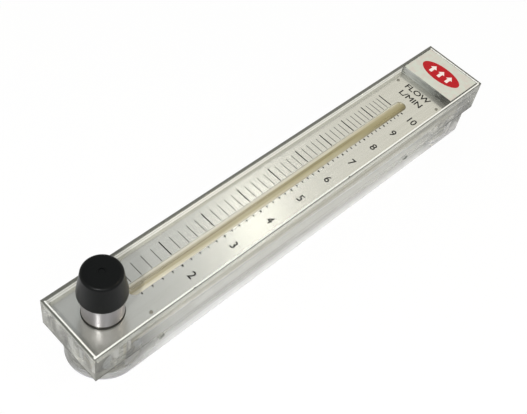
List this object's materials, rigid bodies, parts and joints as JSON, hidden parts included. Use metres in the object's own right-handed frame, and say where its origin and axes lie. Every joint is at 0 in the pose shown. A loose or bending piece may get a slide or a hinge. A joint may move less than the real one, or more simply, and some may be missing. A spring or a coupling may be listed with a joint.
{
  "type": "rotameter",
  "caption": "Tall clear block flow meter with a scale plate behind a tapered float bore, a black needle valve knob at the inlet and two threaded ports in the back.",
  "frame": {"origin": "centre of the back face, which the meter lies on; on a panel this face is upright", "axes": "+Z out of the front, along the valve stem towards the knob; +Y from the inlet end with the knob to the outlet end; +X to the right seen from the front"},
  "size_m": [0.054, 0.384, 0.0872],
  "materials": {
    "clear_body": "polished machined polycarbonate, clear",
    "scale_metal": "satin, clear lacquer",
    "steel": "polished",
    "brass": "machined",
    "black_plastic": "moulded, low sheen",
    "rubber": "matt",
    "label": "printed vinyl film",
    "white_plastic": "PTFE"
  },
  "bodies": {
    "meter": {"body": "clear_body", "scale_plate": "scale_metal", "plate_pins": "steel", "slip_cap": "clear_body", "cap_label": "label", "float_stop_pin": "steel", "top_plug": "black_plastic", "top_plug_oring": "rubber", "plug_retaining_pin": "steel", "valve_bushing": "steel", "bushing_oring": "rubber", "valve_seat": "white_plastic", "inlet_adaptor": "brass", "outlet_adaptor": "brass", "inlet_oring": "rubber", "outlet_oring": "rubber", "inlet_retaining_ring": "steel", "outlet_retaining_ring": "steel"},
    "float": {"float": "steel"},
    "stem_lift": {"stem_oring": "rubber"},
    "knob": {"knob": "black_plastic", "valve_stem": "steel", "stem_clip": "steel", "knob_set_screw": "steel"}
  },
  "joints": [
    {"name": "float_rise", "type": "slide", "parent": "meter", "child": "float", "axis": [0, 1, 0], "range_m": [0, 0.2732]},
    {"name": "stem_rise", "type": "slide", "parent": "meter", "child": "stem_lift", "axis": [0, 0, 1], "range_m": [-0.00381, 0.00254]},
    {"name": "knob_turn", "type": "hinge", "parent": "stem_lift", "child": "knob", "pos_m": [0, -0.165, 0.07], "axis": [0, 0, 1], "range_deg": [-1080, 720]}
  ],
  "couplings": [
    {"joint": "knob_turn", "follows": "stem_rise", "rad_per_m": 4947.4}
  ]
}
